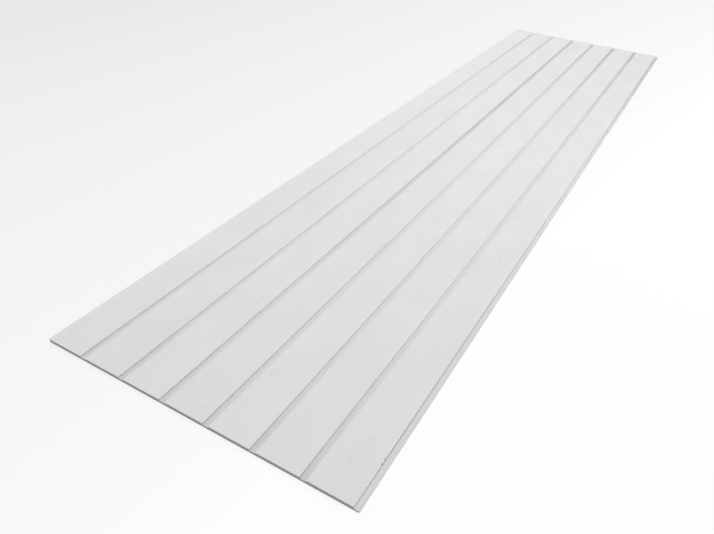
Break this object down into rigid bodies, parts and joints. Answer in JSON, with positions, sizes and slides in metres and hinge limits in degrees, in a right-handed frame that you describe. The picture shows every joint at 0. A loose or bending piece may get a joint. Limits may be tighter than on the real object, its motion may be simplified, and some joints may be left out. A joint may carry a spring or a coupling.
{
  "type": "grooved wall board",
  "caption": "Thin flat wall lining board, primed off-white, divided into equal planks by square-bottomed grooves, with a rebated tongue along one long edge.",
  "frame": {"origin": "centre of the underside, midway along the length and midway between the two long edges, in the plane of the back", "axes": "+X across the planks towards the tongue, +Y along the planks and grooves, +Z out of the grooved face"},
  "size_m": [0.6, 2.44, 0.0065],
  "materials": {
    "primed_board": "off-white factory primer, matt, on a grey-green fibreboard core that shows at the two sawn ends"
  },
  "bodies": {
    "root": {"wall_board": "primed_board"}
  },
  "joints": []
}
